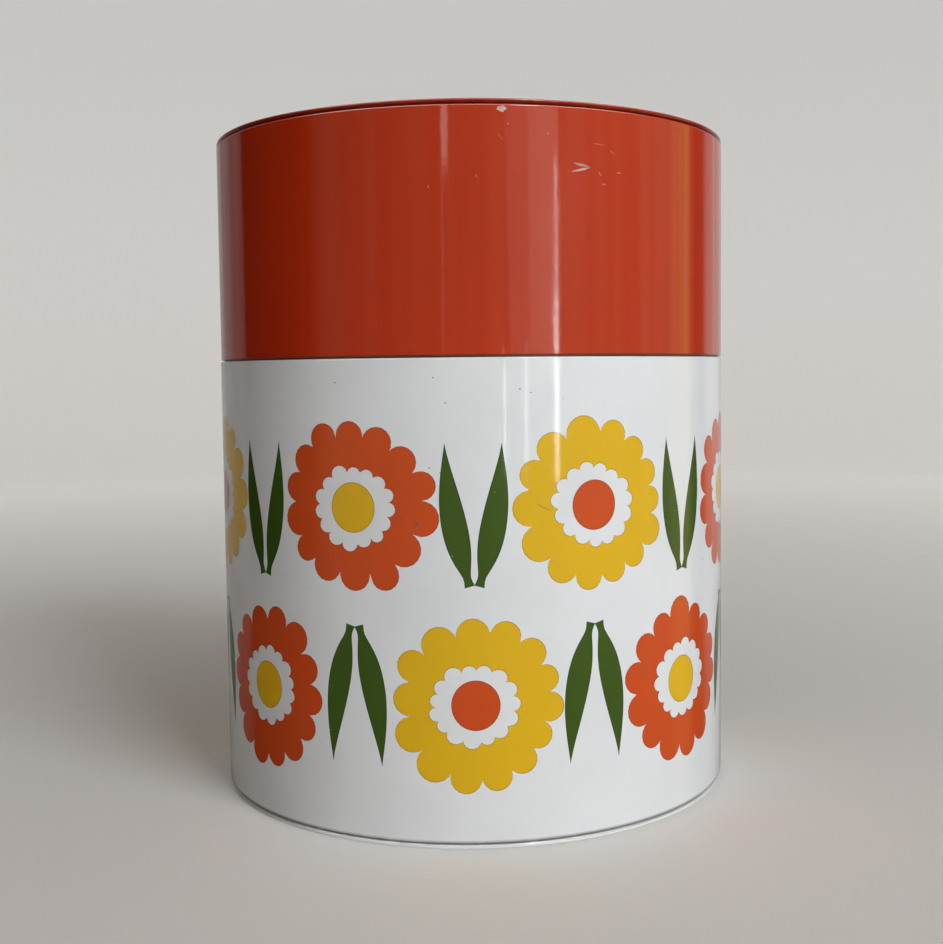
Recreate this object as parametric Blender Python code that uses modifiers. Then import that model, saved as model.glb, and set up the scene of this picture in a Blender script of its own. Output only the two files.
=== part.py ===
"""Round storage tin with a tall slip lid that sits flush with the body.

Units are metres, +Z is up, and the origin is on the tin's axis at the face it stands on. Every piece is a
pressed or rolled sheet, so each one is the path of its outer skin, turned round the axis and thickened.
"""

import math

import bpy

# Driving dimensions
BODY_RADIUS = 0.1000          # outside of the body wall
LID_RADIUS = 0.0998           # outside of the lid wall
TIN_HEIGHT = 0.2486           # table to the top of the lid's rim
SHOULDER_HEIGHT = 0.1650      # top of the body's rounded shoulder
LID_GAP = 0.0004              # between the shoulder and the lid's hem
SHEET = 0.0004                # sheet thickness
STEPS = 48                    # facets round the axis, the same on every piece

# Seams that hold the base and the lid's top
RIM_HEIGHT = 0.0016           # outside height of a seamed rim
RIM_INSET = 0.0001            # how far a rim lies inside its wall
RIM_LIP = 0.0007              # how far the rim's lip turns in
RIM_WIDTH = 0.0025            # width of the seam's channel
RIM_CORNER = 0.0006           # corner radius of the rim
GROOVE = 0.0004               # open groove between a rim and its wall
HOOK_INSET = 0.0012           # from the wall's outside to the hook in the channel
HOOK_DEPTH = 0.0011           # how deep the hook reaches into the channel
WALL_TURN = 0.0008            # radius of the wall's turned edge

# Recessed panels of the base and the lid's top
PANEL_DEPTH = 0.0042          # from the rim's outer face to the panel
PANEL_CORNER = 0.0010
BEAD_RADIUS = 0.0720          # where the panel's raised centre begins
BEAD_STEP = 0.0008
BEAD_SLOPE = 0.0020

# Shoulder, hem and neck collar
SHOULDER_LIP = 0.0013         # how far the shoulder turns in
HEM_DEPTH = 0.0060            # height of the lid's folded hem
HEM_WIDTH = 0.0011            # outside width of the folded hem
COLLAR_RADIUS = 0.0983        # outside of the neck that the lid slides over
COLLAR_SKIRT_RADIUS = 0.0992  # outside of the skirt fixed inside the body wall
COLLAR_BOTTOM = 0.1480
COLLAR_JOGGLE = 0.1628        # where the skirt begins to step in to the neck
COLLAR_TOP = 0.1950
CURL_RADIUS = 0.0013          # outside radius of the collar's curled edge


def clear_scene():
    """Remove every object, so that the script gives the same scene each time."""
    for old in list(bpy.data.objects):
        bpy.data.objects.remove(old, do_unlink=True)


def arc(centre, radius, start, end, pieces):
    """Points of an arc in the (r, z) plane; angles in degrees from +r towards +z, both ends included."""
    angles = [math.radians(start + (end - start) * i / pieces) for i in range(pieces + 1)]
    return [(centre[0] + radius * math.cos(a), centre[1] + radius * math.sin(a)) for a in angles]


def flipped(path, height):
    """The same path upside down, measured from height, still running the same way round the section."""
    return [(r, height - z) for r, z in reversed(path)]


def hooked_edge(radius, foot):
    """A wall's lower edge, turned in above the seam and hooked down into its channel."""
    hook = radius - HOOK_INSET
    turn = arc((radius - WALL_TURN, foot + WALL_TURN), WALL_TURN, 0, -90, 3)
    return turn + [(hook, foot - SHEET), (hook, foot - HOOK_DEPTH)]


def seamed_disc(radius):
    """A pressed disc facing down, from the lip of its rim to its centre, with the rim's face at z = 0."""
    outer = radius - RIM_INSET
    inner = outer - RIM_WIDTH
    lip = [(outer - RIM_LIP, RIM_HEIGHT)]
    rim_upper = arc((outer - RIM_CORNER, RIM_HEIGHT - RIM_CORNER), RIM_CORNER, 90, 0, 2)
    rim_lower = arc((outer - RIM_CORNER, RIM_CORNER), RIM_CORNER, 0, -90, 2)
    rim_inner = arc((inner + RIM_CORNER, RIM_CORNER), RIM_CORNER, 270, 180, 2)
    well = arc((inner - PANEL_CORNER, PANEL_DEPTH - PANEL_CORNER), PANEL_CORNER, 0, 90, 2)
    centre = [(BEAD_RADIUS + BEAD_SLOPE, PANEL_DEPTH),
              (BEAD_RADIUS, PANEL_DEPTH - BEAD_STEP),
              (0.0, PANEL_DEPTH - BEAD_STEP)]
    return lip + rim_upper + rim_lower + rim_inner + well + centre


def body_wall_path():
    """Shoulder lip, rounded shoulder, straight wall, hooked foot."""
    turn = arc((BODY_RADIUS - WALL_TURN, SHOULDER_HEIGHT - WALL_TURN), WALL_TURN, 90, 0, 3)
    lip = [(BODY_RADIUS - SHOULDER_LIP, SHOULDER_HEIGHT)]
    return lip + turn + hooked_edge(BODY_RADIUS, RIM_HEIGHT + GROOVE)


def neck_collar_path():
    """Curled top edge, neck, joggle, and the skirt inside the body."""
    curl = arc((COLLAR_RADIUS - CURL_RADIUS, COLLAR_TOP - CURL_RADIUS), CURL_RADIUS, 270, 0, 6)
    step = COLLAR_SKIRT_RADIUS - COLLAR_RADIUS
    return curl + [(COLLAR_RADIUS, COLLAR_JOGGLE + step),
                   (COLLAR_SKIRT_RADIUS, COLLAR_JOGGLE),
                   (COLLAR_SKIRT_RADIUS, COLLAR_BOTTOM)]


def lid_wall_path():
    """Hooked upper edge, straight wall, and the hem folded up inside."""
    foot = SHOULDER_HEIGHT + LID_GAP
    fold = HEM_WIDTH / 2
    upper = flipped(hooked_edge(LID_RADIUS, RIM_HEIGHT + GROOVE), TIN_HEIGHT)
    hem = arc((LID_RADIUS - fold, foot + fold), fold, 0, -180, 4)
    return upper + hem + [(LID_RADIUS - HEM_WIDTH, foot + HEM_DEPTH)]


def turned_sheet(name, path, material, collection):
    """One sheet piece: the path of its skin, turned round Z and thickened away from that skin."""
    mesh = bpy.data.meshes.new(name)
    points = [(r, 0.0, z) for r, z in path]
    mesh.from_pydata(points, [(i, i + 1) for i in range(len(points) - 1)], [])
    piece = bpy.data.objects.new(name, mesh)
    collection.objects.link(piece)
    mesh.materials.append(material)

    screw = piece.modifiers.new("turn", "SCREW")
    screw.axis = "Z"
    screw.angle = 2 * math.pi
    screw.steps = STEPS
    screw.render_steps = STEPS
    screw.use_merge_vertices = True
    screw.merge_threshold = 0.00001
    screw.use_smooth_shade = True

    sheet = piece.modifiers.new("sheet", "SOLIDIFY")
    sheet.thickness = SHEET
    sheet.offset = -1.0
    sheet.use_even_offset = True
    return piece


def lacquer(name, colour, roughness, metallic):
    """A Principled material for one piece."""
    material = bpy.data.materials.new(name)
    material.use_nodes = True
    shader = material.node_tree.nodes["Principled BSDF"]
    shader.inputs["Base Color"].default_value = (*colour, 1.0)
    shader.inputs["Roughness"].default_value = roughness
    shader.inputs["Metallic"].default_value = metallic
    material.diffuse_color = (*colour, 1.0)
    return material


def build_tin():
    """Every piece of the tin, in one collection, with the lid's pieces on their own empty."""
    tin = bpy.data.collections.new("storage_tin")
    bpy.context.scene.collection.children.link(tin)

    body_white = lacquer("body_white", (0.80, 0.80, 0.78), 0.20, 0.0)
    base_white = lacquer("base_white", (0.78, 0.78, 0.76), 0.25, 0.0)
    bare_tin = lacquer("bare_tin", (0.62, 0.60, 0.55), 0.32, 1.0)
    lid_orange = lacquer("lid_orange", (0.58, 0.08, 0.025), 0.18, 0.0)
    top_orange = lacquer("top_orange", (0.55, 0.075, 0.025), 0.20, 0.0)

    turned_sheet("body_wall", body_wall_path(), body_white, tin)
    turned_sheet("base_panel", seamed_disc(BODY_RADIUS), base_white, tin)
    turned_sheet("neck_collar", neck_collar_path(), bare_tin, tin)

    lid_axis = bpy.data.objects.new("lid_axis", None)
    lid_axis.location = (0.0, 0.0, SHOULDER_HEIGHT + LID_GAP)
    tin.objects.link(lid_axis)
    lid_pieces = [
        turned_sheet("lid_wall", lid_wall_path(), lid_orange, tin),
        turned_sheet("lid_top", flipped(seamed_disc(LID_RADIUS), TIN_HEIGHT), top_orange, tin),
    ]
    for piece in lid_pieces:
        piece.parent = lid_axis
        piece.location = (0.0, 0.0, -lid_axis.location.z)


clear_scene()
build_tin()
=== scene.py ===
"""Looks of the round storage tin: fine sheet-metal pieces, printed wall, lacquers, wear, light and camera.

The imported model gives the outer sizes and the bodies. Each sheet piece is rebuilt here as a fine mesh: the
path of its lacquered skin in section, turned round the axis, with its sheet thickness behind it. The print is
a plain repeat drawn in millimetres on the unrolled wall: s runs round the wall, to the right of the front,
and h is height.
"""

import math
import random

import bpy
import numpy as np
from mathutils import Matrix, Vector
from mathutils.geometry import delaunay_2d_cdt


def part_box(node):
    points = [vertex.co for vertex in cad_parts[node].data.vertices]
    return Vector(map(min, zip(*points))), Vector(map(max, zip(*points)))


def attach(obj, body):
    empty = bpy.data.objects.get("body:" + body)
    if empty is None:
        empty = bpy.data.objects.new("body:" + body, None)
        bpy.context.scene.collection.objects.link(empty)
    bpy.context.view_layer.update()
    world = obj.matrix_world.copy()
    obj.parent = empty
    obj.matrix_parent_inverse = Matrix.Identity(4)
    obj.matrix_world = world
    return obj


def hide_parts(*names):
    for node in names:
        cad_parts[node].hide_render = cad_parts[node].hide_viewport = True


MM = 0.001

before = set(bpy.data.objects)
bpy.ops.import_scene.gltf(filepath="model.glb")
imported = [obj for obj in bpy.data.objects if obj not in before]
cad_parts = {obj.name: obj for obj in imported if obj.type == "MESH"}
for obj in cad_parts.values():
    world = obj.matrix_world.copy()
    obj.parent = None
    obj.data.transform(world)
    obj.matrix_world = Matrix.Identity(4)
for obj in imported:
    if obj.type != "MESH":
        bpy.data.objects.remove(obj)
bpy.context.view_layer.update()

# ---------------------------------------------------------------------------------------------------------
# Sizes, in millimetres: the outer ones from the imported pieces, then those of the pressed details
# ---------------------------------------------------------------------------------------------------------


def node_span(node):
    """Outside radius, lowest and highest height of a CAD node, in millimetres."""
    low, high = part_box(node)
    return high.x / MM, low.z / MM, high.z / MM


BODY_RADIUS, _, SHOULDER = node_span("body_wall")
LID_RADIUS, LID_FOOT, _ = node_span("lid_wall")
BASE_RADIUS = node_span("base_panel")[0]
TOP_RADIUS, _, TIN_HEIGHT = node_span("lid_top")
SKIRT_RADIUS, COLLAR_BOTTOM, COLLAR_TOP = node_span("neck_collar")

SHEET = 0.4            # sheet thickness
RIM_HEIGHT = 1.6
RIM_WIDTH = 2.5
RIM_CORNER = 0.45
RIM_ROLL = 1.16        # the rim's rolled side, next to the groove
RIM_TUCK = 72.0        # how far it rolls under, in degrees
GROOVE = 0.18
HOOK_INSET = 1.2
HOOK_DEPTH = 0.9
WALL_TURN = 0.55
PANEL_DEPTH = 4.2
PANEL_CORNER = 1.0
BEAD_RADIUS = 72.0
BEAD_STEP = 0.8
BEAD_SLOPE = 2.0
SHOULDER_LIP = 1.3
HEM_DEPTH = 6.0
HEM_WIDTH = 1.1
COLLAR_STEP = 0.9
COLLAR_JOGGLE = SHOULDER - 2.2
CURL_RADIUS = 1.3

COLUMN_STEP = 1.0      # degrees between the fine mesh's columns
EDGE_GAP = 0.05        # least distance from a printed shape to the ends of the straight wall
ARC_PIECES = 8

# The side seam at the back of each wall: a locked fold, flat outside but for its line, thick inside
SEAM_LINE = 0.25       # half width of the line
SEAM_DEPTH = 0.22
SEAM_FOLD = 3.0        # half width of the fold inside
SEAM_EASE = 0.3        # half width of the ramp at the fold's edges
SEAM_THICK = 0.6
SEAM_MARGIN = 4.5      # unprinted strip on either side of the line


# ---------------------------------------------------------------------------------------------------------
# Sections: each point is (r, z, direction of the skin's outward normal in degrees, 0 = +r and 90 = +z)
# ---------------------------------------------------------------------------------------------------------


def bend(centre, radius, start, end, pieces=ARC_PIECES, hollow=False):
    """An arc of the skin; hollow where the skin curves round the air side."""
    points = []
    for i in range(pieces + 1):
        angle = start + (end - start) * i / pieces
        turn = math.radians(angle)
        facing = angle + 180 if hollow else angle
        points.append((centre[0] + radius * math.cos(turn), centre[1] + radius * math.sin(turn), facing))
    return points


def flipped(path, height):
    """The same path upside down, measured from height, still running the same way round the section."""
    return [(r, height - z, -facing) for r, z, facing in reversed(path)]


def hooked_edge(radius, foot):
    """A wall's lower edge, turned in above the seam and hooked down into its channel."""
    hook = radius - HOOK_INSET
    turn = bend((radius - WALL_TURN, foot + WALL_TURN), WALL_TURN, 0, -90)
    return turn + [(hook, foot - SHEET, -40), (hook, foot - HOOK_DEPTH, 0)]


def seamed_disc(outer):
    """A pressed disc facing down, from the lip of its rim to its centre, with the rim's face at z = 0."""
    inner = outer - RIM_WIDTH
    corner = RIM_CORNER
    rim_upper = bend((outer - RIM_ROLL, corner), RIM_ROLL, RIM_TUCK, 0)
    rim_lower = bend((outer - corner, corner), corner, 0, -90)
    rim_inner = bend((inner + corner, corner), corner, 270, 180)
    well = bend((inner - PANEL_CORNER, PANEL_DEPTH - PANEL_CORNER), PANEL_CORNER, 0, 90, hollow=True)
    bead = []
    slope = math.degrees(math.atan(math.pi / 2 * BEAD_STEP / BEAD_SLOPE))
    for i in range(ARC_PIECES + 1):
        t = i / ARC_PIECES
        drop = BEAD_STEP * (1 - math.cos(math.pi * t)) / 2
        facing = 270 + slope * math.sin(math.pi * t)
        bead.append((BEAD_RADIUS + BEAD_SLOPE * (1 - t), PANEL_DEPTH - drop, facing))
    flat = PANEL_DEPTH - BEAD_STEP
    centre = [(r, flat, 270) for r in (50.0, 25.0, 8.0, 0.0)]
    return rim_upper + rim_lower[1:] + rim_inner + well + bead + centre


def body_wall_path():
    """Shoulder lip, rounded shoulder, straight wall, hooked foot."""
    turn = bend((BODY_RADIUS - WALL_TURN, SHOULDER - WALL_TURN), WALL_TURN, 90, 0)
    return [(BODY_RADIUS - SHOULDER_LIP, SHOULDER, 90)] + turn + hooked_edge(BODY_RADIUS, RIM_HEIGHT + GROOVE)


def neck_collar_path():
    """Curled top edge, neck, joggle, and the skirt inside the body."""
    neck = SKIRT_RADIUS - COLLAR_STEP
    curl = bend((neck - CURL_RADIUS, COLLAR_TOP - CURL_RADIUS), CURL_RADIUS, 270, 0, 3 * ARC_PIECES)
    half = COLLAR_STEP / 2
    reach = 45.0
    radius = half / (1 - math.cos(math.radians(reach)))
    rise = radius * math.sin(math.radians(reach))
    upper = bend((neck + radius, COLLAR_JOGGLE + 2 * rise), radius, 180, 180 + reach, 4, hollow=True)
    lower = bend((SKIRT_RADIUS - radius, COLLAR_JOGGLE), radius, reach, 0, 4)
    return curl + upper + lower[1:] + [(SKIRT_RADIUS, COLLAR_BOTTOM, 0)]


def lid_wall_path():
    """Hooked upper edge, straight wall, and the hem folded up inside."""
    fold = HEM_WIDTH / 2
    upper = flipped(hooked_edge(LID_RADIUS, RIM_HEIGHT + GROOVE), TIN_HEIGHT)
    hem = bend((LID_RADIUS - fold, LID_FOOT + fold), fold, 0, -180)
    return upper + hem + [(LID_RADIUS - HEM_WIDTH, LID_FOOT + HEM_DEPTH, 180)]


# ---------------------------------------------------------------------------------------------------------
# Fine sheet meshes
# ---------------------------------------------------------------------------------------------------------


def columns_for(radius, seamed):
    """Places round the wall, in millimetres of its circumference, closer together at a side seam."""
    half = math.pi * radius
    step = radius * math.radians(COLUMN_STEP)
    count = round(2 * half / step)
    places = [-half + 2 * half * i / count for i in range(count)]
    if seamed:
        extra = [0.0, SEAM_LINE / 2, SEAM_LINE, SEAM_FOLD - SEAM_EASE, SEAM_FOLD + SEAM_EASE, SEAM_MARGIN]
        near = [half - e for e in extra] + [-half + e for e in extra]
        places = [p for p in places if min(abs(p - n) for n in near) > 0.4 * step]
        places += [n for n in near if n < half]
    return sorted(set(places))


def seam_offset(s, radius, inside):
    """How far the seam moves the skin, or the sheet's other side, in towards the axis at s."""
    gap = math.pi * radius - abs(s)
    if inside:
        return SEAM_THICK * min(1.0, max(0.0, (SEAM_FOLD + SEAM_EASE - gap) / (2 * SEAM_EASE)))
    return SEAM_DEPTH * max(0.0, 1 - gap / SEAM_LINE)


class SheetMesh:
    """Collects the rings, faces and corner normals of one turned sheet."""

    def __init__(self, path, seamed, outer):
        self.path = path
        self.seamed = seamed
        self.outer = outer
        self.columns = columns_for(outer, seamed)
        self.points = []
        self.faces = []
        self.normals = []
        self.slots = []

    def point(self, r, z, s, inside=False):
        if self.seamed:
            r = r - seam_offset(s, self.outer, inside)
        angle = s / self.outer
        self.points.append((r * math.sin(angle) * MM, -r * math.cos(angle) * MM, z * MM))
        return len(self.points) - 1

    def ring(self, r, z, inside=False):
        if r < 1e-6:
            return [self.point(0.0, z, 0.0)] * len(self.columns)
        return [self.point(r, z, s, inside) for s in self.columns]

    def normal(self, s, facing):
        angle = s / self.outer
        out = math.cos(math.radians(facing))
        return (out * math.sin(angle), -out * math.cos(angle), math.sin(math.radians(facing)))

    def face(self, corners, slot):
        """One face from (point, s, facing) corners, without the repeats at the axis."""
        kept = []
        for corner in corners:
            if corner[0] not in [k[0] for k in kept]:
                kept.append(corner)
        if len(kept) < 3:
            return
        self.faces.append([k[0] for k in kept])
        self.normals += [self.normal(k[1], k[2]) for k in kept]
        self.slots.append(slot)

    def strip(self, upper, lower, facing_upper, facing_lower, slot):
        """Faces between two rings, seen from the side that faces out with upper above lower."""
        count = len(self.columns)
        for i in range(count):
            j = (i + 1) % count
            a, b = self.columns[i], self.columns[j]
            self.face([(upper[i], a, facing_upper), (lower[i], a, facing_lower),
                       (lower[j], b, facing_lower), (upper[j], b, facing_upper)], slot)

    def backs(self):
        """The path moved in by the sheet's thickness, with mitred corners."""
        moved = []
        for i, (r, z, facing) in enumerate(self.path):
            turn = math.radians(facing)
            sides = []
            for k in (i - 1, i):
                if 0 <= k < len(self.path) - 1:
                    dr = self.path[k + 1][0] - self.path[k][0]
                    dz = self.path[k + 1][1] - self.path[k][1]
                    sides.append(math.atan2(dr, -dz))
            spread = math.cos((sides[-1] - sides[0]) / 2) if len(sides) == 2 else 1.0
            depth = SHEET / max(0.5, spread)
            back = r - depth * math.cos(turn)
            moved.append((0.0 if r < 1e-6 else back, z - depth * math.sin(turn)))
        return moved

    def build(self, name, field=None):
        """Skin, other side and cut edges. field = (row, triangles maker) fills one stretch of the skin."""
        path, backs = self.path, self.backs()
        skin = [self.ring(r, z) for r, z, _ in path]
        back = [self.ring(r, z, inside=True) for r, z in backs]
        for i in range(len(path) - 1):
            if field and i == field[0]:
                self.fill(skin[i], skin[i + 1], path[i], field[1])
            else:
                self.strip(skin[i], skin[i + 1], path[i][2], path[i + 1][2], 0)
            self.strip(back[i + 1], back[i], path[i + 1][2] + 180, path[i][2] + 180, 1)
        self.strip(back[0], skin[0], path[0][2] + 90, path[0][2] + 90, 0)
        if path[-1][0] > 1e-6:
            self.strip(skin[-1], back[-1], path[-1][2] - 90, path[-1][2] - 90, 0)
        mesh = bpy.data.meshes.new(name)
        mesh.from_pydata(self.points, [], self.faces)
        mesh.polygons.foreach_set("material_index", self.slots)
        mesh.polygons.foreach_set("use_smooth", [True] * len(self.faces))
        mesh.normals_split_custom_set(self.normals)
        mesh.update()
        return mesh

    def fill(self, upper, lower, top, shapes):
        """The straight wall between two rings, split along the outlines of the printed or worn shapes."""
        radius, high, facing = top
        low = self.points[lower[0]][2] / MM
        half = math.pi * self.outer
        lowest, highest = low + EDGE_GAP, high - EDGE_GAP
        shapes = [([(s, min(max(h, lowest), highest)) for s, h in outline], slot) for outline, slot in shapes]
        coords = []
        edges = []
        places = self.columns + [half]
        for i, s in enumerate(places):
            coords += [(s, low), (s, high)]
            edges.append((2 * i, 2 * i + 1))
            if i:
                edges += [(2 * i - 2, 2 * i), (2 * i - 1, 2 * i + 1)]
        for outline, _ in shapes:
            first, count = len(coords), len(outline)
            coords += outline
            edges += [(first + k, first + (k + 1) % count) for k in range(count)]
        spots, _, triangles, sources, *_ = delaunay_2d_cdt([Vector(c) for c in coords], edges, [], 0, 1e-5)
        spots = np.array([(v.x, v.y) for v in spots])
        triangles = np.array([t for t in triangles if len(t) == 3])
        slots = paint(spots[triangles].mean(axis=1), shapes, half - SEAM_MARGIN)

        # A spot that comes from a ring's point is that point, so the stretch is welded to both rings
        index = []
        for (s, h), source in zip(spots, sources):
            borders = [k for k in source if k < 2 * len(places)]
            if borders:
                ring = upper if borders[0] % 2 else lower
                index.append(ring[borders[0] // 2 % len(self.columns)])
            else:
                index.append(self.point(radius, float(h), float(s)))
        for triangle, slot in zip(triangles, slots):
            self.face([(index[k], float(spots[k][0]), facing) for k in triangle], int(slot))


def paint(centres, shapes, limit):
    """The material slot of each triangle, from the last shape that its centre lies in."""
    slots = np.zeros(len(centres), int)
    for outline, slot in shapes:
        edge = np.array(outline)
        near = np.all((centres > edge.min(0)) & (centres < edge.max(0)), axis=1)
        near &= np.abs(centres[:, 0]) < limit
        if not near.any():
            continue
        x, y = centres[near, 0][:, None], centres[near, 1][:, None]
        x0, y0 = edge[:, 0], edge[:, 1]
        x1, y1 = np.roll(x0, -1), np.roll(y0, -1)
        crosses = (y0 > y) != (y1 > y)
        with np.errstate(divide="ignore", invalid="ignore"):
            hits = crosses & (x < (x1 - x0) * (y - y0) / (y1 - y0) + x0)
        inside = hits.sum(axis=1) % 2 == 1
        slots[np.flatnonzero(near)[inside]] = slot
    return slots


def sheet_piece(name, body, node, sheet, materials, field=None):
    """One finished sheet piece, riding on its body in place of its CAD node."""
    piece = bpy.data.objects.new(name, sheet.build(name, field))
    bpy.context.scene.collection.objects.link(piece)
    for material in materials:
        piece.data.materials.append(material)
    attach(piece, body)
    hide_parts(node)
    return piece


# ---------------------------------------------------------------------------------------------------------
# Print: a generic repeat of daisies and leaves from formulas, in millimetres (s, h)
# ---------------------------------------------------------------------------------------------------------

WHITE, YELLOW, ORANGE, GREEN = 0, 2, 3, 4
YELLOW_EDGE, ORANGE_EDGE, GREEN_EDGE = 5, 6, 7
DARK = 8
EDGE_OF = {YELLOW: YELLOW_EDGE, ORANGE: ORANGE_EDGE}
INK_EDGE = 0.3         # the darker line where the ink is thick at its edge

# The half-drop repeat
PITCH = 84.0
LOW_ROW = 49.0
HIGH_ROW = 115.0
DAISY_RADIUS = 29.5
OUTER_PETALS = 14
INNER_PETALS = 15
RING_SHARE = (0.525, 0.485)     # the white ring's and the heart's width and height, as shares of the daisy's
HEART_SHARE = (0.28, 0.29)
LEAF_FOOT = 26.0                # from the row's middle to the leaves' feet and tips
LEAF_TIP = 22.0
LEAF_SPREAD = 9.5
LEAF_FOOT_SPREAD = 1.6
LEAF_HALF_WIDTH = 4.3
TIP_TAPER = 1.25                # over 1 draws an end of the blade out to a point
FOOT_TAPER = 1.1
BLADE_LENGTH = 0.94             # the blade's share of the spine; the stem takes the rest
LEAST_WIDTH = 0.06


def scallops(centre, half_width, half_height, widths, reaches, turn, grow=0.0, pieces=9, plump=1.01):
    """A ring of round petals: each lobe is an arc of its own circle, between rays from the centre."""
    half_width, half_height = half_width + grow, half_height + grow
    total = sum(widths)
    outline = []
    angle = math.radians(turn)
    for width, reach in zip(widths, reaches):
        wedge = 2 * math.pi * width / total
        share = math.sin(wedge / 2)
        radius = plump * reach * share / (1 + share)
        away = reach - radius
        edge = away * math.cos(wedge / 2) + math.sqrt(max(0.0, radius ** 2 - (away * share) ** 2))
        sweep = math.atan2(edge * share, edge * math.cos(wedge / 2) - away)
        middle = angle + wedge / 2
        for k in range(pieces):
            beta = -sweep + 2 * sweep * (k + 0.5) / pieces
            x = away * math.cos(middle) + radius * math.cos(middle + beta)
            y = away * math.sin(middle) + radius * math.sin(middle + beta)
            outline.append((centre[0] + half_width * x, centre[1] + half_height * y))
        angle += wedge
        notch = min(edge, 1.0)
        outline.append((centre[0] + half_width * notch * math.cos(angle),
                        centre[1] + half_height * notch * math.sin(angle)))
    return outline


def oval(centre, half_width, half_height, pieces=44):
    """An ellipse."""
    turns = [2 * math.pi * k / pieces for k in range(pieces)]
    return [(centre[0] + half_width * math.cos(t), centre[1] + half_height * math.sin(t)) for t in turns]


def uneven(rng, count, spread, turn):
    """Widths and reaches of a ring's petals and the ring's turn in degrees, all slightly irregular."""
    return ([1 + spread * rng.uniform(-1, 1) for _ in range(count)],
            [1 + 0.05 * rng.uniform(-1, 1) for _ in range(count)], rng.uniform(0, turn))


def daisy(rng, s, h, radius, ink, heart):
    """Petal ring, white inner ring and heart."""
    centre = (s, h)
    outer = uneven(rng, OUTER_PETALS, 0.16, 25)
    inner = uneven(rng, INNER_PETALS, 0.14, 24)
    ring = (centre, RING_SHARE[0] * radius, RING_SHARE[1] * radius)
    wide, tall = HEART_SHARE[0] * radius, HEART_SHARE[1] * radius
    return [
        (scallops(centre, radius, radius, *outer), EDGE_OF[ink]),
        (scallops(centre, radius, radius, *outer, grow=-INK_EDGE), ink),
        (scallops(*ring, *inner, grow=INK_EDGE, pieces=6, plump=1.04), EDGE_OF[ink]),
        (scallops(*ring, *inner, pieces=6, plump=1.04), WHITE),
        (oval(centre, wide, tall), EDGE_OF[heart]),
        (oval(centre, wide - INK_EDGE, tall - INK_EDGE), heart),
    ]


def blade(tip, lead, trail, end, inset=0.0, pieces=30):
    """One outline of a leaf on a curved spine, from its tip to its stem's cut end."""
    widest = TIP_TAPER / (TIP_TAPER + FOOT_TAPER)
    ctrl = [np.array(p, float) for p in (tip, lead, trail, end)]
    pulls = [ctrl[i + 1] - ctrl[i] for i in range(3)]
    left, right = [], []
    for k in range(pieces + 1):
        t = k / pieces
        u = 1 - t
        spot = u ** 3 * ctrl[0] + 3 * u * u * t * ctrl[1] + 3 * u * t * t * ctrl[2] + t ** 3 * ctrl[3]
        run = 3 * u * u * pulls[0] + 6 * u * t * pulls[1] + 3 * t * t * pulls[2]
        run /= np.linalg.norm(run)
        side = np.array((-run[1], run[0]))
        along = min(1.0, t / BLADE_LENGTH)
        wide = LEAF_HALF_WIDTH * (along / widest) ** TIP_TAPER * ((1 - along) / (1 - widest)) ** FOOT_TAPER
        rise = min(1.0, max(0.0, (t - 0.3) / 0.4))
        stem = 1 + 0.75 * max(0.0, (t - 0.8) / 0.2) ** 2
        wide = math.hypot(wide, stem * rise * rise * (3 - 2 * rise)) - inset
        if wide < LEAST_WIDTH:
            point = tuple(spot)
            continue
        left.append(tuple(spot + wide * side))
        right.append(tuple(spot - wide * side))
    return [point] + left + right[::-1]


def leaf_pair(s, foot, tip):
    """Two plain leaves with their ink edges, which open in a V from one point."""
    shapes = []
    length = foot - tip
    for way in (-1, 1):
        curve = ((s + way * LEAF_SPREAD, tip), (s + way * 0.95 * LEAF_SPREAD, tip + 0.45 * length),
                 (s + way * 0.45 * LEAF_SPREAD, tip + 0.8 * length), (s + way * LEAF_FOOT_SPREAD, foot))
        shapes += [(blade(*curve), GREEN_EDGE), (blade(*curve, inset=INK_EDGE), GREEN)]
    return shapes


def body_print():
    """A plain half-drop repeat: two rows of daisies, and a pair of leaves in each gap.

    The sheet is unprinted beside its side seam.
    """
    rng = random.Random(7)
    inks = ((YELLOW, ORANGE), (ORANGE, YELLOW))
    shapes = []
    for k in range(-3, 4):
        shapes += daisy(rng, k * PITCH, LOW_ROW, DAISY_RADIUS, *inks[k % 2])
        shapes += leaf_pair(k * PITCH, HIGH_ROW - LEAF_FOOT, HIGH_ROW + LEAF_TIP)
    for k in range(-3, 3):
        shapes += daisy(rng, (k + 0.5) * PITCH, HIGH_ROW, DAISY_RADIUS, *inks[k % 2])
    for k in range(-4, 4):
        shapes += leaf_pair((k + 0.5) * PITCH, LOW_ROW + LEAF_FOOT, LOW_ROW - LEAF_TIP)
    return shapes + body_chips(rng)


def chip(centre, half_width, half_height, slot, rng, corners=13, ragged=0.3):
    """A ragged patch where the lacquer has come off."""
    outline = []
    for k in range(corners):
        angle = 2 * math.pi * k / corners
        reach = 1 + ragged * rng.uniform(-1, 1)
        outline.append((centre[0] + half_width * reach * math.cos(angle),
                        centre[1] + half_height * reach * math.sin(angle)))
    return [(outline, slot)]


def scratch(start, end, half_width, slot, rng, pieces=7):
    """A thin scratch, widest near its middle, with a slightly ragged edge."""
    start, end = np.array(start, float), np.array(end, float)
    run = (end - start) / np.linalg.norm(end - start)
    side = np.array((-run[1], run[0]))
    upper, lower = [], []
    for k in range(1, pieces):
        t = k / pieces
        spot = start + (end - start) * t
        wide = half_width * math.sin(math.pi * t) ** 0.6
        upper.append(tuple(spot + side * wide * rng.uniform(0.7, 1.2)))
        lower.append(tuple(spot - side * wide * rng.uniform(0.7, 1.2)))
    return [([tuple(start)] + upper + [tuple(end)] + lower[::-1], slot)]


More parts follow.
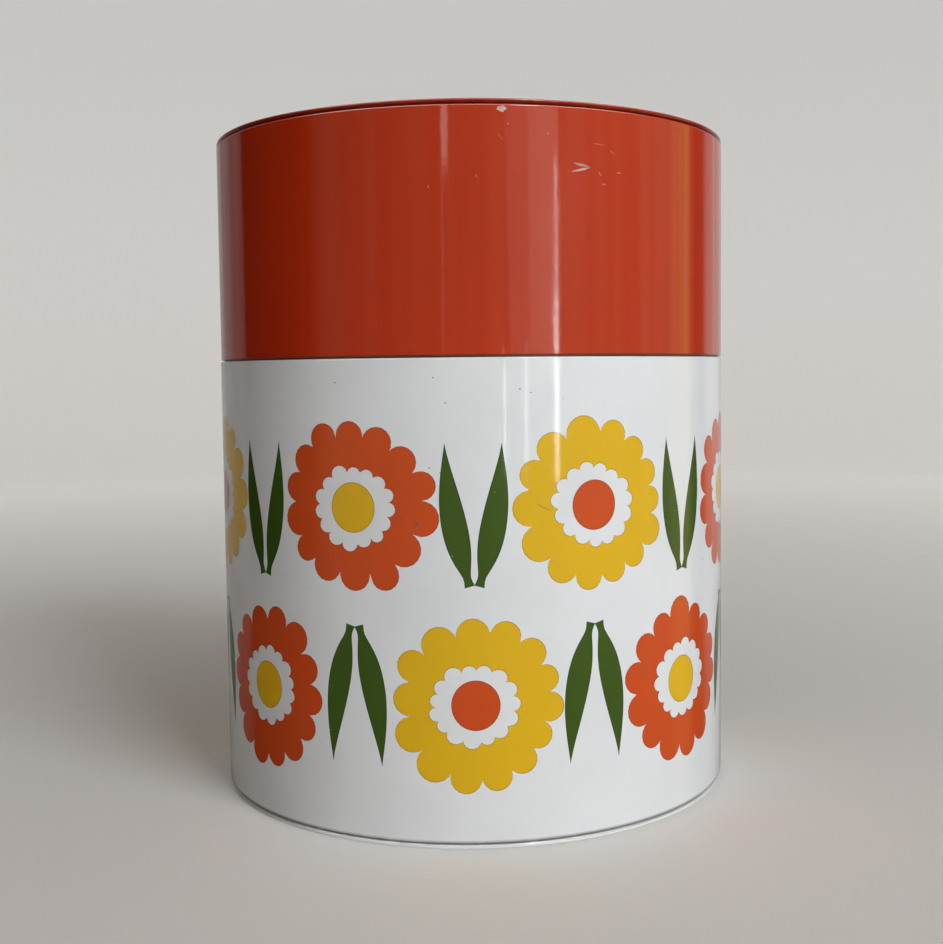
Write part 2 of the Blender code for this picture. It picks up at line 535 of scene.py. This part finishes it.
def body_chips(rng):
    """Small marks in the body's lacquer, at the front where they show and a few more all round."""
    marks = []
    marks += scratch((-19.7, 111.4), (-18.7, 109.0), 0.28, DARK, rng)
    marks += scratch((-25.5, 111.6), (-24.0, 111.3), 0.22, DARK, rng)
    marks += scratch((20.5, 116.5), (26.0, 113.6), 0.10, DARK, rng)
    marks += scratch((-36.6, 73.4), (-35.2, 74.6), 0.22, WHITE, rng)
    marks += scratch((43.4, 78.0), (51.0, 77.6), 0.16, WHITE, rng)
    for s, h in ((-14.6, 128.6), (-10.9, 127.0), (-13.0, 158.4), (15.7, 154.4), (19.4, 153.2),
                 (-9.0, 150.0), (43.6, 60.4), (-48.0, 157.0), (101.0, 90.0)):
        marks += chip((s, h), 0.28, 0.24, DARK, rng, corners=7)
    for _ in range(26):
        place = (rng.uniform(-300, 300), rng.uniform(8, 160))
        marks += chip(place, rng.uniform(0.12, 0.3), rng.uniform(0.12, 0.26), DARK, rng, corners=6)
    return marks


PRIMER, SCUFF, METAL = 2, 3, 4     # the lid's own material slots


def lid_marks():
    """The lid's chip, its forked scratch and the fainter scuffs beside it, and a few more all round."""
    rng = random.Random(19)
    marks = []
    edge_chip = (10.3, 245.2)
    marks += chip(edge_chip, 1.55, 1.0, PRIMER, rng, corners=27)
    for _ in range(7):
        place = (edge_chip[0] + rng.uniform(-1.4, 1.4), edge_chip[1] + rng.uniform(-0.7, 0.7))
        marks += chip(place, rng.uniform(0.12, 0.3), rng.uniform(0.1, 0.24), SCUFF, rng, corners=7)
    marks += scratch((33.9, 225.6), (41.3, 227.4), 0.36, METAL, rng)
    marks += scratch((34.7, 228.6), (40.6, 227.6), 0.30, METAL, rng)
    marks += scratch((36.0, 227.9), (40.9, 227.5), 0.22, SCUFF, rng)
    marks += scratch((36.4, 226.2), (39.6, 226.9), 0.2, PRIMER, rng)
    for start, end, half_width in (
        ((44.2, 226.0), (45.4, 224.8), 0.22), ((45.2, 222.2), (47.2, 222.0), 0.20),
        ((51.3, 226.2), (53.5, 226.3), 0.26), ((-13.9, 220.9), (-13.4, 219.8), 0.22),
        ((1.7, 224.0), (2.4, 223.2), 0.25), ((9.0, 237.4), (10.8, 235.0), 0.10),
        ((12.4, 240.6), (12.9, 240.2), 0.25), ((42.0, 235.4), (47.0, 234.9), 0.12),
        ((48.6, 233.4), (50.9, 232.2), 0.12), ((25.6, 237.9), (26.3, 237.3), 0.22),
    ):
        marks += scratch(start, end, half_width, SCUFF, rng)
    for _ in range(18):
        s, h = rng.uniform(-300, 300), rng.uniform(172, 240)
        if abs(s) > 80:
            tilt, run = rng.uniform(-0.5, 0.5), rng.uniform(1.5, 9.0)
            marks += scratch((s, h), (s + run, h + run * tilt), rng.uniform(0.08, 0.2), SCUFF, rng)
    return marks


# ---------------------------------------------------------------------------------------------------------
# Materials
# ---------------------------------------------------------------------------------------------------------


class Nodes:
    """A few short calls for building a node tree."""

    def __init__(self, owner, coordinate="Object"):
        owner.use_nodes = True
        self.owner = owner
        self.tree = owner.node_tree
        self.place = self.add("ShaderNodeTexCoord").outputs[coordinate]

    def add(self, kind, **settings):
        node = self.tree.nodes.new(kind)
        for key, value in settings.items():
            setattr(node, key, value)
        return node

    def put(self, socket, value):
        if isinstance(value, bpy.types.NodeSocket):
            self.tree.links.new(value, socket)
        elif isinstance(value, tuple) and socket.type == "RGBA":
            socket.default_value = (*value, 1.0)
        else:
            socket.default_value = value

    def stretched(self, x, y, z):
        node = self.add("ShaderNodeMapping")
        self.put(node.inputs["Vector"], self.place)
        node.inputs["Scale"].default_value = (x, y, z)
        return node.outputs["Vector"]

    def noise(self, scale, detail=3.0, roughness=0.5, place=None):
        node = self.add("ShaderNodeTexNoise")
        self.put(node.inputs["Vector"], place or self.place)
        node.inputs["Scale"].default_value = scale
        node.inputs["Detail"].default_value = detail
        node.inputs["Roughness"].default_value = roughness
        return node.outputs["Fac"]

    def spots(self, scale, size, keep):
        """1 inside small round spots, about one cell in keep, at scale cells to the metre."""
        node = self.add("ShaderNodeTexVoronoi")
        self.put(node.inputs["Vector"], self.place)
        node.inputs["Scale"].default_value = scale
        chosen = self.ramp(self.channel(node.outputs["Color"]), keep, keep + 0.001)
        near = self.ramp(node.outputs["Distance"], size, size * 0.6)
        return self.math("MULTIPLY", chosen, near)

    def channel(self, colour):
        node = self.add("ShaderNodeSeparateColor")
        self.put(node.inputs["Color"], colour)
        return node.outputs["Red"]

    def axis(self, index):
        node = self.add("ShaderNodeSeparateXYZ")
        self.put(node.inputs["Vector"], self.place)
        return node.outputs[index]

    def ramp(self, value, low, high, out_low=0.0, out_high=1.0):
        """Maps low..high to out_low..out_high, clamped; low may be above high."""
        node = self.add("ShaderNodeMapRange", clamp=True)
        self.put(node.inputs["Value"], value)
        limits = ("From Min", low), ("From Max", high), ("To Min", out_low), ("To Max", out_high)
        for name, number in limits:
            node.inputs[name].default_value = number
        return node.outputs["Result"]

    def math(self, operation, a, b=0.0):
        node = self.add("ShaderNodeMath", operation=operation)
        self.put(node.inputs[0], a)
        self.put(node.inputs[1], b)
        return node.outputs["Value"]

    def mix(self, factor, a, b, blend="MIX"):
        node = self.add("ShaderNodeMix", data_type="RGBA", blend_type=blend)
        self.put(node.inputs["Factor"], factor)
        self.put(node.inputs["A"], a)
        self.put(node.inputs["B"], b)
        return node.outputs["Result"]

    def bump(self, height, distance, strength=1.0, under=None):
        node = self.add("ShaderNodeBump")
        self.put(node.inputs["Height"], height)
        node.inputs["Distance"].default_value = distance
        node.inputs["Strength"].default_value = strength
        if under is not None:
            self.put(node.inputs["Normal"], under)
        return node.outputs["Normal"]

    def grey(self, value):
        node = self.add("ShaderNodeCombineColor")
        for name in ("Red", "Green", "Blue"):
            self.put(node.inputs[name], value)
        return node.outputs["Color"]

    def finish(self, colour, roughness, normal=None, **constants):
        shader = self.tree.nodes["Principled BSDF"]
        self.put(shader.inputs["Base Color"], colour)
        self.put(shader.inputs["Roughness"], roughness)
        if normal is not None:
            self.put(shader.inputs["Normal"], normal)
        for name, value in constants.items():
            self.put(shader.inputs[name.replace("_", " ")], value)
        return self.owner


def new_material(name):
    """A material and the means to build its nodes."""
    return Nodes(bpy.data.materials.new(name))


def shade(colour, amount):
    """A colour made darker or lighter by a factor."""
    return tuple(min(1.0, c * amount) for c in colour)


def lacquer(name, colour, gloss=0.065, painted_shade=(), painted_shade_colour=(0.10, 0.075, 0.05), pinholes=None, tooth=0.0,
            specks=0.0, dents=0.00032):
    """Glossy lacquer: faint mottling, painted shade at given heights, orange peel, soft dents and hairline
    wear.

    Painted shade is given as heights and reaches in metres, with a strength, and the dark colour it blends
    to;
    pinholes is the colour that shows through them; tooth is the ink's texture, specks the share of dark spots
    and dents the depth of the soft waves.
    """
    n = new_material(name)
    mottle = n.ramp(n.noise(26.0, 4.0, 0.55), 0.3, 0.7)
    tint = n.mix(mottle, shade(colour, 0.955), shade(colour, 1.03))
    cloud = n.ramp(n.noise(7.0, 2.0), 0.35, 0.75, 0.0, 0.5)
    tint = n.mix(cloud, tint, shade(colour, 0.95))
    smudge = n.ramp(n.noise(60.0, 5.0, 0.6), 0.45, 0.75)
    # Painted shade: darker bands at the given heights, standing for the shade in grooves and under edges.
    for height, reach, strength in painted_shade:
        away = n.math("ABSOLUTE", n.math("SUBTRACT", n.axis(2), height))
        patchy = n.ramp(n.noise(140.0, 4.0, 0.7), 0.2, 0.5, 0.6)
        near = n.math("MULTIPLY", n.ramp(away, reach, reach * 0.2), patchy)
        tint = n.mix(n.math("MULTIPLY", near, strength), tint, painted_shade_colour)
    if specks:
        tint = n.mix(n.math("MULTIPLY", n.spots(75.0, 0.016, 1 - specks), 0.75), tint, (0.07, 0.06, 0.055))
    if pinholes:
        cluster = n.ramp(n.noise(38.0, 2.0), 0.5, 0.66)
        tint = n.mix(n.math("MULTIPLY", n.spots(420.0, 0.09, 0.94), 0.7), tint, pinholes)
        many = n.math("MULTIPLY", n.spots(900.0, 0.2, 0.86), cluster)
        tint = n.mix(n.math("MULTIPLY", many, 0.6), tint, pinholes)

    hairs = n.ramp(n.noise(1.0, 2.0, 0.5, n.stretched(900.0, 900.0, 70.0)), 0.66, 0.72)
    rubbed = n.math("MULTIPLY", hairs, n.ramp(n.noise(22.0, 3.0), 0.5, 0.68))
    rough = n.math("ADD", n.ramp(smudge, 0.0, 1.0, gloss, gloss + 0.06), n.math("MULTIPLY", rubbed, 0.16))

    waves = n.bump(n.noise(1.0, 1.0, 0.5, n.stretched(19.0, 19.0, 5.0)), dents)
    peel = n.bump(n.noise(380.0, 2.0, 0.45), 0.000016, 1.0, waves)
    fine = n.bump(n.noise(1500.0, 2.0, 0.6), 0.0000016 + 0.000006 * tooth, 1.0, peel)
    return n.finish(tint, rough, fine, IOR=1.5)


def bare_tin(name, grain=(14.0, 14.0, 900.0), colour=(0.60, 0.585, 0.55), scuffed=0.0, dirty=None):
    """Bare tinplate: rolled grain, dull patches and, on the neck, rub marks from the lid and a dirty line.

    scuffed is how strongly the rub marks show, and dirty is the line's height in metres.
    """
    n = new_material(name)
    lines = n.noise(1.0, 4.0, 0.6, n.stretched(*grain))
    patch = n.ramp(n.noise(16.0, 4.0, 0.6), 0.35, 0.7)
    tint = n.mix(n.ramp(lines, 0.3, 0.7), shade(colour, 0.88), shade(colour, 1.08))
    tint = n.mix(n.math("MULTIPLY", patch, 0.45), tint, (0.50, 0.46, 0.40))
    tint = n.mix(n.math("MULTIPLY", n.spots(160.0, 0.05, 0.9), 0.6), tint, (0.22, 0.15, 0.10))
    rough = n.math("ADD", n.ramp(patch, 0.0, 1.0, 0.24, 0.38), n.ramp(lines, 0.4, 0.7, 0.0, 0.08))
    if scuffed:
        rubs = n.ramp(n.noise(1.0, 3.0, 0.6, n.stretched(420.0, 420.0, 9.0)), 0.56, 0.66)
        rings = n.ramp(n.noise(1.0, 2.0, 0.5, n.stretched(4.0, 4.0, 1400.0)), 0.6, 0.68)
        worn = n.math("MULTIPLY", n.math("MAXIMUM", rubs, rings), scuffed)
        tint = n.mix(worn, tint, (0.74, 0.73, 0.71))
        rough = n.math("ADD", rough, n.math("MULTIPLY", worn, 0.12))
    if dirty is not None:
        away = n.math("ABSOLUTE", n.math("SUBTRACT", n.axis(2), dirty))
        tint = n.mix(n.ramp(away, 0.0011, 0.0005, 0.0, 0.85), tint, (0.05, 0.035, 0.025))
    waves = n.bump(n.noise(11.0, 1.0), 0.0006)
    fine = n.bump(lines, 0.000006, 1.0, waves)
    return n.finish(tint, rough, fine, Metallic=1.0)


def bared(name, colour, metallic, roughness):
    """What shows in a chip or scratch: pale primer or dull metal, broken up."""
    n = new_material(name)
    broken = n.ramp(n.noise(1600.0, 3.0, 0.7), 0.35, 0.65)
    tint = n.mix(broken, shade(colour, 0.62), shade(colour, 1.1))
    normal = n.bump(n.noise(1400.0, 3.0, 0.6), 0.00006)
    return n.finish(tint, n.ramp(broken, 0.0, 1.0, roughness, roughness + 0.2), normal, Metallic=metallic)


INK_WHITE = (0.80, 0.80, 0.795)
INK_YELLOW = (0.78, 0.455, 0.012)
INK_ORANGE = (0.63, 0.076, 0.013)
INK_GREEN = (0.045, 0.092, 0.009)
LID_ORANGE = (0.485, 0.028, 0.004)

# Painted shade in the foot groove: the white darkens just above the groove and on the rim below it.
FOOT_PAINTED_SHADE = ((RIM_HEIGHT + GROOVE) * MM, 0.0013, 0.75)
# Painted shade at the top of the body's shoulder, in the gap under the lid.
SHOULDER_PAINTED_SHADE = (SHOULDER * MM + 0.0002, 0.0007, 0.3)

body_white = lacquer("body_white", INK_WHITE, painted_shade=(FOOT_PAINTED_SHADE, SHOULDER_PAINTED_SHADE), specks=0.12)
ink_yellow = lacquer("ink_yellow", INK_YELLOW, tooth=0.5)
ink_orange = lacquer("ink_orange", INK_ORANGE, tooth=1.0)
ink_green = lacquer("ink_green", INK_GREEN, pinholes=(0.55, 0.58, 0.42), tooth=0.7)
yellow_edge = lacquer("yellow_edge", (0.50, 0.27, 0.012))
orange_edge = lacquer("orange_edge", (0.36, 0.045, 0.012))
green_edge = lacquer("green_edge", (0.024, 0.048, 0.008))
# Painted highlight: the base rim is the body's white lacquer made 12% lighter, for the light its rounded top
# catches; it also takes the painted shade of the foot groove.
base_white = lacquer("base_white", shade(INK_WHITE, 1.12), gloss=0.08, painted_shade=(FOOT_PAINTED_SHADE,), specks=0.3,
                     dents=0.0001)
# Painted shade: the lid's lower edge is darkened to a deep red-brown, where the hem curls in and is in shade.
lid_orange = lacquer("lid_orange", LID_ORANGE, gloss=0.055, painted_shade=((LID_FOOT * MM, 0.0009, 0.75),),
                     painted_shade_colour=(0.12, 0.035, 0.02))
# Painted shade: the top rim's rolled edge is darkened to a very dark red, standing for the shade on its
# underside.
top_orange = lacquer("top_orange", LID_ORANGE, gloss=0.10,
                     painted_shade=(((TIN_HEIGHT - RIM_HEIGHT) * MM, 0.0016, 0.95),), painted_shade_colour=(0.10, 0.004, 0.002),
                     dents=0.0001)
tin_inside = bare_tin("tin_inside")
tin_disc = bare_tin("tin_disc", grain=(10.0, 700.0, 10.0))
tin_neck = bare_tin("tin_neck", scuffed=0.5, dirty=SHOULDER * MM)
primer = bared("primer", (0.66, 0.46, 0.41), 0.0, 0.5)
scuff = bared("scuff", (0.60, 0.17, 0.10), 0.0, 0.4)
dull_metal = bared("dull_metal", (0.52, 0.34, 0.29), 0.0, 0.45)
dark_mark = bared("dark_mark", (0.10, 0.09, 0.08), 0.0, 0.5)

# ---------------------------------------------------------------------------------------------------------
# Pieces
# ---------------------------------------------------------------------------------------------------------


def straight_row(path):
    """The row of a wall's path where its long straight stretch begins."""
    drops = [path[i][1] - path[i + 1][1] for i in range(len(path) - 1)]
    return drops.index(max(drops))


wall_path = body_wall_path()
sheet_piece("printed_body_wall", "canister", "body_wall",
            SheetMesh(wall_path, True, BODY_RADIUS),
            [body_white, tin_inside, ink_yellow, ink_orange, ink_green, yellow_edge, orange_edge, green_edge,
             dark_mark], (straight_row(wall_path), body_print()))
sheet_piece("base_disc", "canister", "base_panel",
            SheetMesh(seamed_disc(BASE_RADIUS), False, BASE_RADIUS), [base_white, tin_disc])
sheet_piece("inner_neck", "canister", "neck_collar",
            SheetMesh(neck_collar_path(), False, SKIRT_RADIUS), [tin_neck, tin_inside])
lid_path = lid_wall_path()
sheet_piece("lid_skirt", "lid", "lid_wall", SheetMesh(lid_path, True, LID_RADIUS),
            [lid_orange, tin_inside, primer, scuff, dull_metal], (straight_row(lid_path), lid_marks()))
sheet_piece("lid_disc", "lid", "lid_top",
            SheetMesh(flipped(seamed_disc(TOP_RADIUS), TIN_HEIGHT), False, TOP_RADIUS),
            [top_orange, tin_disc])

# ---------------------------------------------------------------------------------------------------------
# Floor and backdrop, light and camera
# ---------------------------------------------------------------------------------------------------------


def pale_paper():
    """Matt paper, lifted away from the tin so that floor and backdrop stay equally pale."""
    n = new_material("pale_paper")
    away = n.add("ShaderNodeVectorMath", operation="LENGTH")
    n.put(away.inputs[0], n.place)
    lift = n.ramp(away.outputs["Value"], 0.1, 1.3, 0.0, 0.27)
    return n.finish((0.77, 0.745, 0.715), 0.8, Emission_Color=(1.0, 0.975, 0.94), Emission_Strength=lift)


def turned_stage(name, profile, material, steps=96):
    """A plain surface of the studio, turned round the tin's axis."""
    mesh = bpy.data.meshes.new(name)
    mesh.from_pydata([(r, 0.0, z) for r, z in profile], [(i, i + 1) for i in range(len(profile) - 1)], [])
    stage = bpy.data.objects.new(name, mesh)
    bpy.context.scene.collection.objects.link(stage)
    turned = stage.modifiers.new("turn", "SCREW")
    turned.steps = steps
    turned.render_steps = steps
    turned.use_merge_vertices = True
    turned.merge_threshold = 0.0001
    turned.use_smooth_shade = True
    mesh.materials.append(material)
    return stage


def studio():
    """A pale floor and, for the camera only, a plain wall that curves up from its edge all round."""
    flat, curve, wall = 1.5, 0.9, 3.5
    paper = pale_paper()
    floor = turned_stage("floor", [(0.0, 0.0), (0.4, 0.0), (flat, 0.0)], paper)
    floor.visible_glossy = False
    sweep = [(flat, 0.0)]
    pieces = 12
    for i in range(1, pieces + 1):
        turn = math.radians(90 * i / pieces)
        sweep.append((flat + curve * math.sin(turn), curve * (1 - math.cos(turn))))
    sweep.append((flat + curve, wall))
    backdrop = turned_stage("backdrop", sweep, paper)
    backdrop.visible_diffuse = False
    backdrop.visible_glossy = False
    backdrop.visible_shadow = False


def panel_light(name, azimuth, height, distance, width, tall, power, colour, in_gloss):
    """A soft panel facing the tin; azimuth 0 is in front, positive to the viewer's right.

    in_gloss is True for a panel that only shows in the gloss, and False for one that only lights surfaces.
    """
    data = bpy.data.lights.new(name, "AREA")
    data.shape = "RECTANGLE"
    data.size = width
    data.size_y = tall
    data.energy = power
    data.color = colour
    light = bpy.data.objects.new(name, data)
    bpy.context.scene.collection.objects.link(light)
    turn = math.radians(azimuth)
    light.location = (distance * math.sin(turn), -distance * math.cos(turn), height)
    towards = Vector((0.0, 0.0, TIN_HEIGHT * MM / 2)) - light.location
    light.rotation_euler = towards.to_track_quat("-Z", "Y").to_euler()
    light.visible_camera = False
    light.visible_glossy = in_gloss
    light.visible_diffuse = not in_gloss


def room():
    """Soft light from all round, brightest from above, and the room that shows in the tin's gloss.

    In the gloss the room is dark at the left, pale in front and at the right, with a bright strip past the
    right. Directions are in degrees, 0 in front and positive to the viewer's right.
    """
    world = bpy.data.worlds.new("soft_room")
    n = Nodes(world, "Generated")
    x, y, z = n.axis(0), n.axis(1), n.axis(2)
    turn = n.math("ARCTAN2", x, n.math("MULTIPLY", y, -1.0))
    ramp = n.add("ShaderNodeValToRGB")
    n.put(ramp.inputs["Fac"], n.ramp(turn, -math.pi, math.pi))
    stops = [
        # direction, brightness, warmth
        (-180, 0.45, 0.1), (-121, 0.25, 0.1), (-119, 0.01, 0.1), (-74, 0.02, 1.0), (-64, 0.34, 1.0),
        (-34, 0.30, 1.0), (0, 0.48, 1.0), (20, 0.56, 1.0), (37, 0.66, 1.0), (98, 0.68, 1.0),
        (102, 1.0, 1.6), (110, 1.0, 1.6), (114, 0.3, 1.0), (119, 0.08, 0.5), (126, 0.14, 0.2),
        (130, 0.66, 0.2), (180, 0.45, 0.1),
    ]
    elements = ramp.color_ramp.elements
    for i, (degrees, level, warmth) in enumerate(stops):
        spot = (degrees + 180) / 360
        element = elements[i] if i < 2 else elements.new(spot)
        element.position = spot
        element.color = (level / 2, level / 2 * (1 - 0.10 * warmth), level / 2 * (1 - 0.40 * warmth), 1.0)
    below = n.mix(n.ramp(z, -0.03, -0.3), (2.0, 2.0, 2.0), (0.7, 0.66, 0.6))
    wall = n.mix(1.0, ramp.outputs["Color"], below, "MULTIPLY")
    clutter = n.ramp(n.noise(1.0, 2.0, 0.5, n.stretched(9.0, 9.0, 0.6)), 0.35, 0.65, 0.8, 1.2)
    wall = n.mix(1.0, wall, n.grey(clutter), "MULTIPLY")
    in_front = n.ramp(n.math("MULTIPLY", y, -1.0), -0.2, 0.2)
    high = n.math("MULTIPLY", n.ramp(z, 0.5, 0.62), n.ramp(z, 0.92, 0.86))
    ceiling = n.mix(n.math("MULTIPLY", high, in_front), (0.6, 0.6, 0.6), (9.0, 9.0, 8.8))
    gloss = n.mix(n.ramp(z, 0.25, 0.5), wall, ceiling)
    ambient = n.mix(1.0, n.grey(n.ramp(z, 0.2, 1.0, 0.0, 0.29)), (1.0, 0.90, 0.80), "MULTIPLY")
    in_gloss = n.add("ShaderNodeLightPath").outputs["Is Glossy Ray"]
    n.put(n.tree.nodes["Background"].inputs["Color"], n.mix(in_gloss, ambient, gloss))
    bpy.context.scene.world = world


PLAIN = (1.0, 1.0, 1.0)
WARM = (1.0, 0.97, 0.88)
COOL = (0.93, 0.98, 1.0)
LAMP = (1.0, 0.95, 0.88)
GLOSS_DISTANCE = 2.0
GLOSS_PANELS = (
    # name, azimuth, height, width, tall, power, colour
    ("window_wide", 26.0, 0.46, 0.77, 0.60, 0.72, WARM),
    ("window_pane", 30.5, 0.46, 0.45, 0.60, 0.45, WARM),
    ("window_top", 25.0, 1.30, 0.40, 0.70, 20.0, PLAIN),
    ("slit_low", 35.3, 0.13, 0.07, 0.34, 0.70, COOL),
    ("slit_high", 35.6, 0.42, 0.035, 0.26, 0.20, COOL),
    ("pane_edge_left", 13.0, 0.09, 0.02, 0.20, 0.12, COOL),
    ("pane_edge_right", 22.0, 0.09, 0.025, 0.20, 0.16, COOL),
    ("far_lamp", -10.6, 0.72, 0.09, 0.36, 0.25, LAMP),
    ("far_lamp_edge", -11.8, 0.48, 0.02, 0.56, 0.035, LAMP),
)

studio()
room()
panel_light("key", 37.5, 1.32, 3.0, 1.6, 1.95, 81.5, (0.885, 0.945, 1.0), False)
for name, azimuth, height, width, tall, power, colour in GLOSS_PANELS:
    panel_light(name, azimuth, height, GLOSS_DISTANCE, width, tall, power, colour, True)
bpy.context.scene.view_settings.view_transform = "Standard"


def photo_camera():
    """The photograph's viewpoint: 507 mm in front of the tin's axis, 160 mm up, looking 3.8 degrees down."""
    distance, height = 0.5073, 0.1599
    yaw, pitch, roll = math.radians(1.04), math.radians(3.78), math.radians(0.58)
    data = bpy.data.cameras.new("camera")
    data.sensor_width = 36.0
    data.lens = 47.30
    data.shift_x = -0.0255
    data.shift_y = -0.0187
    camera = bpy.data.objects.new("camera", data)
    bpy.context.scene.collection.objects.link(camera)
    forward = Vector((math.cos(pitch) * math.sin(yaw), math.cos(pitch) * math.cos(yaw), -math.sin(pitch)))
    level = Vector((math.cos(yaw), -math.sin(yaw), 0.0))
    right = math.cos(roll) * level + math.sin(roll) * forward.cross(level)
    up = right.cross(forward)
    camera.matrix_world = Matrix((
        (right.x, up.x, -forward.x, 0.0),
        (right.y, up.y, -forward.y, -distance),
        (right.z, up.z, -forward.z, height),
        (0.0, 0.0, 0.0, 1.0),
    ))
    bpy.context.scene.camera = camera


photo_camera()
